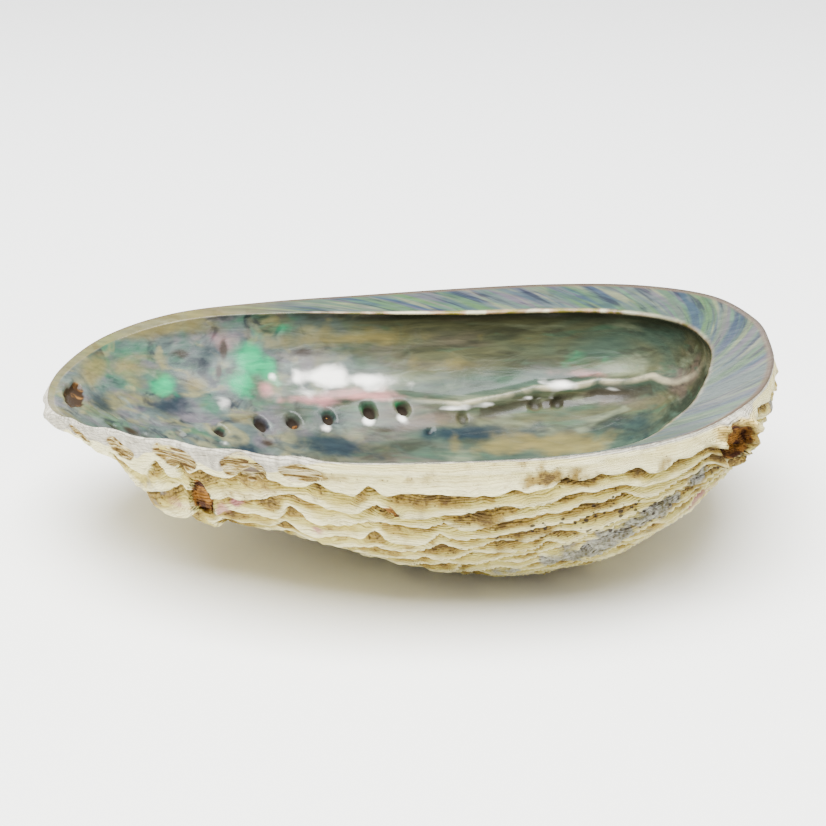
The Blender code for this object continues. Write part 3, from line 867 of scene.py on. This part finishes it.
# Tints of mother of pearl: size, noise where it starts and is full, colour and strength.
WALL_TINT = (0.085, 0.084, 0.050)
WALL_WASHES = (
    (0.020, 0.46, 0.64, (0.043, 0.071, 0.059), 0.8), (0.014, 0.50, 0.68, (0.142, 0.100, 0.090), 0.6),
    (0.011, 0.50, 0.66, (0.025, 0.027, 0.019), 0.8), (0.0085, 0.53, 0.72, (0.190, 0.204, 0.142), 0.7),
    (0.005, 0.54, 0.72, (0.057, 0.104, 0.071), 0.5), (0.004, 0.55, 0.72, (0.030, 0.028, 0.021), 0.5),
)
TIP_TINT = (0.080, 0.100, 0.094)
TIP_WASHES = (
    (0.013, 0.47, 0.68, (0.142, 0.128, 0.066), 0.8), (0.010, 0.48, 0.69, (0.047, 0.117, 0.074), 0.8),
    (0.0075, 0.48, 0.69, (0.133, 0.105, 0.129), 0.6), (0.0062, 0.51, 0.71, (0.222, 0.205, 0.118), 0.75),
    (0.0050, 0.50, 0.69, (0.014, 0.017, 0.024), 0.85), (0.0040, 0.52, 0.73, (0.156, 0.187, 0.172), 0.6),
)
SHELF_TINT = (0.080, 0.099, 0.097)
SHELF_WASHES = (
    (1.9, 0.44, 0.62, (0.072, 0.122, 0.061), 0.85), (1.3, 0.48, 0.66, (0.033, 0.046, 0.080), 0.85),
    (1.0, 0.52, 0.68, (0.114, 0.087, 0.114), 0.6), (0.75, 0.54, 0.70, (0.182, 0.190, 0.122), 0.7),
    (0.55, 0.52, 0.68, (0.020, 0.023, 0.035), 0.8), (0.42, 0.54, 0.70, (0.091, 0.160, 0.106), 0.5),
)


def shelf_spot(paint):
    """Position on the shelf for its oblique streaks: the way round skewed by the way across."""
    x = paint.axis("X")
    y = paint.axis("Y")
    around = (y - DEEPEST[1] * MM).math("ARCTAN2", y - DEEPEST[1] * MM, x - DEEPEST[0] * MM)
    across = paint.mark("below")
    return paint.make("ShaderNodeCombineXYZ", None, {"X": around * 12 + across * 20, "Y": across * 4})


# Other colours of the nacre, by where they lie, painted highlights and painted shade among them.
WORN_SHELF = (0.22, 0.182, 0.082)
RIDGE_HIGHLIGHT = (0.52, 0.46, 0.33)
TROUGH_SHADE = (0.030, 0.026, 0.018)
BLOT_DARK = (0.03, 0.022, 0.010)
SHADE_UNDER_SHELF = (0.014, 0.015, 0.008)
SHELF_EDGE_HIGHLIGHT = ((0.40, (0.26, 0.22, 0.08)), (0.50, (0.46, 0.32, 0.23)), (0.60, (0.74, 0.68, 0.50)))
GRAIN_TONES = ((0.3, (0.60, 0.62, 0.63)), (0.7, (0.93, 0.94, 0.91)))
RIM_HEM = (0.11, 0.070, 0.045)
NOTCH_SHADE_AND_AMBER = ((0.020, 0.009, 0.003), (0.20, 0.09, 0.018))
HOLE_SHADE = (0.016, 0.011, 0.007)
HOLE_ROUGHNESS = 0.95
NACRE_SATURATION = 1.25


def bowl_colour(paint, tip, at_tip, small):
    """Bowl: a streaked wall that turns into the mottled tip, under tinted patches."""
    wall = paint.washes(WALL_TINT, paint.place((0.30, 1.0, 1.7)), WALL_WASHES)
    colour = paint.blend(at_tip, wall, tip)
    for name, tint, most in PATCH_TINTS:
        share = paint.ease(paint.mark(name) + (small - 0.5) * 0.7, 0.12, 0.92)
        colour = paint.blend(share * most, colour, tint)
    return colour


def shelf_colour(paint, tip):
    """Shelf: oblique streaks that give way to worn ochre toward the tip."""
    streaks = paint.washes(SHELF_TINT, shelf_spot(paint), SHELF_WASHES)
    worn = paint.blend(0.55, tip, WORN_SHELF)
    return paint.blend(paint.ease(paint.axis("X"), -0.02, -0.05) * 0.95, streaks, worn)


def with_ridge(paint, colour, in_bowl, mottle, small):
    """Adds a painted highlight on the crest beside the row of holes and painted shade in the trough before
    it, in broken lengths.
    """
    row = paint.mark("row") + (small - 0.5) * 0.5
    run = paint.mark("run")
    late = paint.ease(run, 82.0, 98.0) * paint.ease(run, 168.0, 140.0) * in_bowl
    # Painted highlight on the crest, then painted shade in the trough.
    crest = paint.ease(row, 1.5, 2.2) * paint.ease(row, 3.1, 2.4) * late
    colour = paint.blend(crest * paint.ease(mottle, 0.34, 0.60) * 0.75, colour, RIDGE_HIGHLIGHT)
    trough = paint.ease(row, -1.2, -0.2) * paint.ease(row, 1.6, 0.8) * late
    return paint.blend(trough * paint.ease(mottle, 0.62, 0.46) * 0.8, colour, TROUGH_SHADE)


def with_shelf_edge(paint, colour, edge, in_bowl, at_tip, mottle):
    """Adds painted shade under the shelf and a painted highlight along its edge, both weaker toward the tip.
    """
    # Painted shade under the shelf's edge.
    under = paint.ease(edge, SHELF_SHARE + 0.075, SHELF_SHARE + 0.012) * in_bowl * (1 - at_tip)
    colour = paint.blend(under * 0.75, colour, SHADE_UNDER_SHELF)
    # Painted highlight along the shelf's edge.
    line = paint.ease(edge, SHELF_SHARE - 0.022, SHELF_SHARE - 0.006)
    line = line * paint.ease(edge, SHELF_SHARE + 0.014, SHELF_SHARE)
    far_right = paint.ease(paint.axis("X"), 0.030, 0.065)
    share = line * (1 - at_tip * 0.9) * (1 - far_right * 0.75)
    return paint.blend(share, colour, paint.ramp(mottle, SHELF_EDGE_HIGHLIGHT))


def nacre_colour(paint):
    """Mother of pearl, laid on in turn: bowl and shelf, ridge, edge, grain, pearl, hem, notch and holes. The
    pearl patches are painted highlights, and the ridge, the shelf's edge, the creases, the notch and the
    holes carry painted highlights and painted shade.
    """
    mottle = paint.cloud(0.009, 3.0, (1.0, 1.0, 1.0), 1.0)
    small = paint.cloud(0.004, 3.0, (0.8, 1.0, 1.2), 0.8)
    fine = paint.cloud(0.0016, 3.0, (0.25, 1.0, 1.8), 0.5)
    below = paint.mark("below")
    edge = below + (small - 0.5) * 0.008
    on_shelf = paint.ease(edge, SHELF_SHARE, SHELF_SHARE - 0.012)
    in_bowl = 1 - on_shelf
    at_tip = paint.ease(paint.axis("X") + (mottle - 0.5) * 0.07, 0.006, -0.046)
    tip = paint.washes(TIP_TINT, paint.place((0.8, 1.0, 1.2)), TIP_WASHES)
    colour = paint.blend(on_shelf, bowl_colour(paint, tip, at_tip, small), shelf_colour(paint, tip))
    colour = with_ridge(paint, colour, in_bowl, mottle, small)
    blots = paint.ease(paint.mark("crease") + (small - 0.5) * 0.7, 0.12, 0.92)
    colour = paint.blend(blots * on_shelf * 0.85, colour, BLOT_DARK)
    colour = with_shelf_edge(paint, colour, edge, in_bowl, at_tip, mottle)
    colour = paint.blend(1.0, colour, paint.ramp(fine, GRAIN_TONES), "MULTIPLY")
    tones = {"Saturation": NACRE_SATURATION, "Color": colour}
    colour = paint.make("ShaderNodeHueSaturation", None, tones)
    # Painted highlights: near-white sheen and glints where the pearl patches are.
    pearl = paint.ease(paint.mark("pearl") + (small - 0.5) * 0.6, 0.15, 0.95) * in_bowl
    colour = paint.blend(pearl, colour, PAINTED_GLINT_TINT)
    colour = paint.blend(paint.ease(below, 0.022, 0.008) * 0.8, colour, RIM_HEM)
    # Painted shade in the notch's crevice, near black, flecked with amber.
    amber = paint.blend(paint.ease(small, 0.52, 0.70), *NOTCH_SHADE_AND_AMBER)
    colour = paint.blend(paint.ease(paint.mark("notch"), 0.2, 0.7), colour, amber)
    # Painted shade in the breathing holes.
    return paint.blend(hole_share(paint, small), colour, HOLE_SHADE)


def hole_share(paint, small):
    """Where the breathing holes are painted dark as shade, apart from the painted glints in them."""
    share = paint.ease(paint.mark("dark") + (small - 0.5) * 0.3, 0.20, 0.8)
    return share * (1 - paint.ease(paint.mark("pearl"), 0.45, 0.85))


# Other colours of the crust, by what they show; the brown of the hollows is partly painted shade.
HOLLOW_BROWN_AND_SHADE = (0.080, 0.044, 0.009)
ASH_TONES = ((0.42, (0.022, 0.022, 0.022)), (0.50, (0.17, 0.175, 0.165)), (0.60, (0.40, 0.40, 0.35)))
ALGA_PINK = (0.38, 0.14, 0.16)
CHALK_TONES = ((0.35, (0.38, 0.35, 0.28)), (0.62, (0.60, 0.56, 0.45)))
FIBRE_TONES = ((0.40, (0.09, 0.045, 0.008)), (0.50, (0.34, 0.24, 0.07)), (0.62, (0.66, 0.58, 0.34)))
DOT_DARK = (0.025, 0.015, 0.008)
PIT_AMBER = ((0.045, 0.011, 0.002), (0.34, 0.150, 0.024))
PORES_PER_METRE = 1100.0
DOTS_PER_METRE = 620.0


def roll_colour(paint, settings, wide, mid, fibre):
    """Rolls: stained cream with white lips, gold round the tube and thin ochre lines."""
    first = paint.mark("first")
    stain = paint.ease(wide + (mid - 0.5) * 0.6, 0.38, 0.62)
    colour = paint.blend(stain * 0.65, settings.crust_colour, settings.stain_colour)
    colour = paint.blend(first * 0.45, colour, settings.edge_colour)
    lip = paint.ease(paint.mark("part") + (mid - 0.5) * 0.6 - paint.mark("pocket") * 0.6, 0.35, 0.95)
    colour = paint.blend(lip, colour, settings.edge_colour)
    gold = paint.ease(paint.mark("gold") + (mid - 0.5) * 1.1, 0.2, 0.8)
    colour = paint.blend(gold * 0.8, colour, settings.gold_colour)
    lines = paint.wave(paint.mark("fan") * 6.0 + mid * 1.5)
    lines = paint.ease(lines + (fibre - 0.5) * 1.2, 0.75, 1.15)
    return paint.blend(lines * (0.5 - first * 0.15), colour, settings.pocket_colour)


def with_pockets(paint, settings, colour, wide, mid, fine):
    """Adds ochre stain and painted shade in the hollows under the rolls, and brown pores with deeper painted
    shade where it is deepest.
    """
    ochre = paint.mark("pocket") + paint.mark("ochre") * 0.5 + (mid - 0.5) * 1.2 + (wide - 0.5) * 0.9
    # Ochre in the hollows: partly real stain, partly painted shade under the roll above.
    colour = paint.blend(paint.ease(ochre, 0.10, 0.60), colour, settings.pocket_colour)
    spot = {"Vector": paint.place(), "Scale": PORES_PER_METRE}
    pores = paint.make("ShaderNodeTexVoronoi", None, spot)
    pores = paint.ease(pores + (mid - 0.5) * 0.5, 0.35, 0.10)
    brown = paint.ease(ochre + (fine - 0.5) * 1.6 + pores * 0.45, 0.48, 1.0)
    return paint.blend(brown * 0.9, colour, HOLLOW_BROWN_AND_SHADE)


def with_growths(paint, colour, mid, fine):
    """Adds the grey growth and the pink alga, in broken patches."""
    grey = paint.ease(paint.mark("grey") + (mid - 0.5), 0.3, 0.7)
    colour = paint.blend(grey * 0.85, colour, paint.ramp(mid * 0.5 + fine * 0.5, ASH_TONES))
    pink = paint.ease(paint.mark("pink") + (mid - 0.5) * 1.1, 0.22, 0.72)
    return paint.blend(pink * 0.75, colour, ALGA_PINK)


def with_rim(paint, colour, mid, fibre):
    """Adds the streaked chalk along the rim and the golden fibres in the cells below it."""
    striae = paint.cloud(0.0011, 3.0, (1.0, 1.0, 0.18), 0.3)
    band = paint.ease(paint.mark("band") + (mid - 0.5) * 0.4, 0.3, 0.7)
    colour = paint.blend(band, colour, paint.ramp(striae, CHALK_TONES))
    cell = paint.ease(paint.mark("cell") + (mid - 0.5) * 0.5, 0.15, 0.6)
    return paint.blend(cell, colour, paint.ramp(fibre, FIBRE_TONES))


def with_openings(paint, colour, mid):
    """Adds the small dark borings and the amber inside of the larger openings."""
    spot = {"Vector": paint.place((1.0, 1.0, 1.3)), "Scale": DOTS_PER_METRE}
    dots = paint.make("ShaderNodeTexVoronoi", None, spot)
    dots = paint.ease(dots + (1 - paint.mark("specks")) * 0.5 + (0.5 - mid) * 1.2, 0.34, 0.22)
    colour = paint.blend(dots * 0.9, colour, DOT_DARK)
    amber = paint.blend(paint.ease(mid, 0.4, 0.6), *PIT_AMBER)
    return paint.blend(paint.ease(paint.mark("dark"), 0.25, 0.8), colour, amber)


def crust_colour(paint, settings):
    """Chalky outside, laid on in turn: rolls, pockets, growths, the rim and the openings."""
    wide = paint.cloud(0.012, 4.0)
    mid = paint.cloud(0.003, 4.0)
    fine = paint.cloud(0.0008, 3.0)
    fibre = paint.cloud(0.0024, 4.0, (0.35, 0.6, 2.4), 1.6)
    colour = roll_colour(paint, settings, wide, mid, fibre)
    colour = with_pockets(paint, settings, colour, wide, mid, fine)
    colour = with_growths(paint, colour, mid, fine)
    colour = with_rim(paint, colour, mid, fibre)
    return with_openings(paint, colour, mid)


def crust_material(settings):
    """Chalky, rough outside with a porous relief."""
    paint = Paint("shell_crust")
    threads = paint.wave(paint.mark("fan") * 9.0 + paint.cloud(0.004, 3.0) * 2.0)
    rough = paint.cloud(0.0015, 5.0) + threads * 0.25
    bump = paint.make("ShaderNodeBump", None, {"Height": rough, "Strength": 1.0, "Distance": 0.0012})
    paint.feed(paint.surface.inputs["Base Color"], crust_colour(paint, settings))
    paint.feed(paint.surface.inputs["Normal"], bump)
    paint.surface.inputs["Roughness"].default_value = 0.85
    paint.surface.inputs["Specular IOR Level"].default_value = 0.3
    return paint.material


def nacre_material(settings):
    """Glossy mother of pearl with a soft relief of its own."""
    paint = Paint("shell_nacre")
    relief = paint.cloud(0.005, 3.0, (0.4, 1.0, 1.2), 0.8)
    bump = paint.make("ShaderNodeBump", None, {"Height": relief, "Strength": 0.35, "Distance": 0.0008})
    paint.feed(paint.surface.inputs["Base Color"], nacre_colour(paint))
    paint.feed(paint.surface.inputs["Normal"], bump)
    open_hole = hole_share(paint, paint.cloud(0.004, 3.0, (0.8, 1.0, 1.2), 0.8))
    duller = open_hole * (HOLE_ROUGHNESS - settings.nacre_roughness)
    paint.feed(paint.surface.inputs["Roughness"], duller + settings.nacre_roughness)
    paint.feed(paint.surface.inputs["Coat Weight"], (1 - open_hole) * 0.10)
    paint.surface.inputs["Specular IOR Level"].default_value = 0.16
    paint.surface.inputs["Coat Roughness"].default_value = 0.12
    return paint.material


def floor_material(settings):
    """Pale paper, a little warmer near the camera and cooler far behind the shell."""
    paint = Paint("pale_floor")
    colour = paint.blend(paint.ease(paint.axis("Y"), -0.25, 0.7), settings.floor_near, settings.floor_far)
    paint.feed(paint.surface.inputs["Base Color"], colour)
    paint.surface.inputs["Roughness"].default_value = 0.9
    return paint.material


class ShellSettings(bpy.types.PropertyGroup):
    """Sizes and colours of the shell."""

    roll_height: bpy.props.FloatProperty(
        name="Roll height", description="How far each growth roll stands out", default=0.0016,
        unit="LENGTH")
    nacre_roughness: bpy.props.FloatProperty(
        name="Nacre roughness", description="Roughness of the mother of pearl", default=0.3,
        subtype="FACTOR", min=0.0, max=1.0)
    crust_colour: bpy.props.FloatVectorProperty(
        name="Crust", description="Colour of the chalky outside", default=(0.57, 0.49, 0.145),
        subtype="COLOR", size=3)
    stain_colour: bpy.props.FloatVectorProperty(
        name="Stain", description="Colour of the yellow stains on the outside",
        default=(0.44, 0.335, 0.055), subtype="COLOR", size=3)
    edge_colour: bpy.props.FloatVectorProperty(
        name="Roll edges", description="Colour of the worn edges of the rolls",
        default=(0.94, 0.88, 0.50), subtype="COLOR", size=3)
    gold_colour: bpy.props.FloatVectorProperty(
        name="Gold crust", description="Colour of the golden crust round the tube",
        default=(0.62, 0.43, 0.10), subtype="COLOR", size=3)
    pocket_colour: bpy.props.FloatVectorProperty(
        name="Pockets", description="Colour of the hollows under the rolls",
        default=(0.27, 0.180, 0.035), subtype="COLOR", size=3)


class StageSettings(bpy.types.PropertyGroup):
    """Floor, lights and camera."""

    floor_near: bpy.props.FloatVectorProperty(
        name="Floor near", description="Floor colour near the camera", default=(0.93, 0.925, 0.89),
        subtype="COLOR", size=3)
    floor_far: bpy.props.FloatVectorProperty(
        name="Floor far", description="Floor colour behind the shell", default=(0.98, 0.99, 1.0),
        subtype="COLOR", size=3)
    key_power: bpy.props.FloatProperty(
        name="Key light", description="Power of the light above the shell", default=100.0,
        unit="POWER")
    world_strength: bpy.props.FloatProperty(
        name="Room light", description="Strength of the even light from all sides", default=1.0)
    world_colour: bpy.props.FloatVectorProperty(
        name="Room colour", description="Colour of the even light from all sides",
        default=(1.0, 0.96, 0.87), subtype="COLOR", size=3)
    camera_distance: bpy.props.FloatProperty(
        name="Camera distance", description="From the camera to its aim", default=0.425, unit="LENGTH")
    camera_rise: bpy.props.FloatProperty(
        name="Camera rise", description="Angle of the view above the floor", default=math.radians(20.0),
        subtype="ANGLE")


def add_layer(context, mesh, material):
    """Put one layer of the shell into the scene in place of the solid shell."""
    piece = bpy.data.objects.new(mesh.name, mesh)
    context.scene.collection.objects.link(piece)
    mesh.materials.append(material)
    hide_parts("shell")
    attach(piece, "root")


class SHELL_OT_crust(bpy.types.Operator):
    """Make the shell's chalky outer layer, with its rolls, lumps and openings"""

    bl_idname = "shell.crust"
    bl_label = "Outer Crust"

    def execute(self, context):
        mesh = layer_mesh("shell_crust", outside_shape, outside_base, CRUST_RINGS, CRUST_INWARD, True,
                          CRUST_PATCHES)
        add_layer(context, mesh, crust_material(context.scene.shell_settings))
        return {"FINISHED"}


class SHELL_OT_nacre(bpy.types.Operator):
    """Make the shell's inner layer of mother of pearl, with its shelf and row of holes"""

    bl_idname = "shell.nacre"
    bl_label = "Nacre Lining"

    def execute(self, context):
        mesh = layer_mesh("shell_nacre", inside_shape, inside_base, NACRE_RINGS, NACRE_INWARD, False,
                          NACRE_PATCHES)
        add_layer(context, mesh, nacre_material(context.scene.shell_settings))
        return {"FINISHED"}


def add_area_light(name, place, aim, size, power, colour):
    """Soft square light at a place, turned toward a point."""
    light = bpy.data.lights.new(name, "AREA")
    light.size = size
    light.energy = power
    light.color = colour
    lamp = bpy.data.objects.new(name, light)
    lamp.location = place
    lamp.rotation_euler = (Vector(aim) - Vector(place)).to_track_quat("-Z", "Y").to_euler()
    bpy.context.scene.collection.objects.link(lamp)


def floor_mesh():
    """Floor sweep: a flat sheet that turns up behind along a quarter circle."""
    across = np.linspace(-FLOOR_HALF, FLOOR_HALF, 9)
    run = np.linspace(-FLOOR_FRONT, FLOOR_BACK + BEND_LENGTH, 77)
    angle = np.clip((run - FLOOR_BACK) / BEND_LENGTH, 0, 1) * math.pi / 2
    y = np.minimum(run, FLOOR_BACK) + np.sin(angle) * BEND_RADIUS
    z = (1 - np.cos(angle)) * BEND_RADIUS
    grid_x, grid_y = np.meshgrid(across, y, indexing="ij")
    grid_z = np.broadcast_to(z, grid_y.shape)
    place = np.stack([grid_x, grid_y, grid_z], axis=-1).reshape(-1, 3)
    index = np.arange(len(across) * len(run)).reshape(len(across), len(run))
    faces = np.stack([index[:-1, :-1], index[1:, :-1], index[1:, 1:], index[:-1, 1:]], axis=-1)
    mesh = bpy.data.meshes.new("floor")
    mesh.from_pydata(place.tolist(), [], faces.reshape(-1, 4).tolist())
    mesh.polygons.foreach_set("use_smooth", np.ones(len(mesh.polygons), bool))
    return mesh


class SHELL_OT_stage(bpy.types.Operator):
    """Make the pale floor, the soft lights and the camera"""

    bl_idname = "shell.stage"
    bl_label = "Stage"

    def execute(self, context):
        settings = context.scene.stage_settings
        floor = bpy.data.objects.new("floor", floor_mesh())
        floor.data.materials.append(floor_material(settings))
        context.scene.collection.objects.link(floor)
        add_area_light("key", KEY_PLACE, (0.0, 0.0, 0.0), KEY_SIZE, settings.key_power, KEY_COLOUR)
        world = bpy.data.worlds.new("studio")
        world.use_nodes = True
        background = world.node_tree.nodes["Background"]
        background.inputs["Color"].default_value = (*settings.world_colour, 1.0)
        background.inputs["Strength"].default_value = settings.world_strength
        context.scene.world = world
        camera = bpy.data.cameras.new("camera")
        camera.lens = LENS
        camera.sensor_width = SENSOR
        eye = bpy.data.objects.new("camera", camera)
        aim = Vector(CAMERA_AIM)
        back = Vector((0.0, -math.cos(settings.camera_rise), math.sin(settings.camera_rise)))
        eye.location = aim + back * settings.camera_distance
        eye.rotation_euler = back.to_track_quat("Z", "Y").to_euler()
        context.scene.collection.objects.link(eye)
        context.scene.camera = eye
        return {"FINISHED"}


class SHELL_PT_panel(bpy.types.Panel):
    """Sidebar panel that lists the shell's operators and settings"""

    bl_idname = "SHELL_PT_panel"
    bl_label = "Abalone Shell"
    bl_space_type = "VIEW_3D"
    bl_region_type = "UI"
    bl_category = "Shell"

    def draw(self, context):
        layout = self.layout
        for operator in OPERATORS:
            layout.operator(operator.bl_idname)
        for group in (context.scene.shell_settings, context.scene.stage_settings):
            for name in group.__annotations__:
                layout.prop(group, name)


OPERATORS = (SHELL_OT_crust, SHELL_OT_nacre, SHELL_OT_stage)
CLASSES = (ShellSettings, StageSettings, *OPERATORS, SHELL_PT_panel)


def register():
    """Register the classes and hang the settings on the scene."""
    for item in CLASSES:
        bpy.utils.register_class(item)
    bpy.types.Scene.shell_settings = bpy.props.PointerProperty(type=ShellSettings)
    bpy.types.Scene.stage_settings = bpy.props.PointerProperty(type=StageSettings)


def unregister():
    """Take the settings off the scene and unregister the classes."""
    del bpy.types.Scene.stage_settings
    del bpy.types.Scene.shell_settings
    for item in reversed(CLASSES):
        bpy.utils.unregister_class(item)


def main():
    """Make every piece and the stage."""
    register()
    bpy.ops.shell.crust()
    bpy.ops.shell.nacre()
    bpy.ops.shell.stage()


if __name__ == "__main__":
    main()
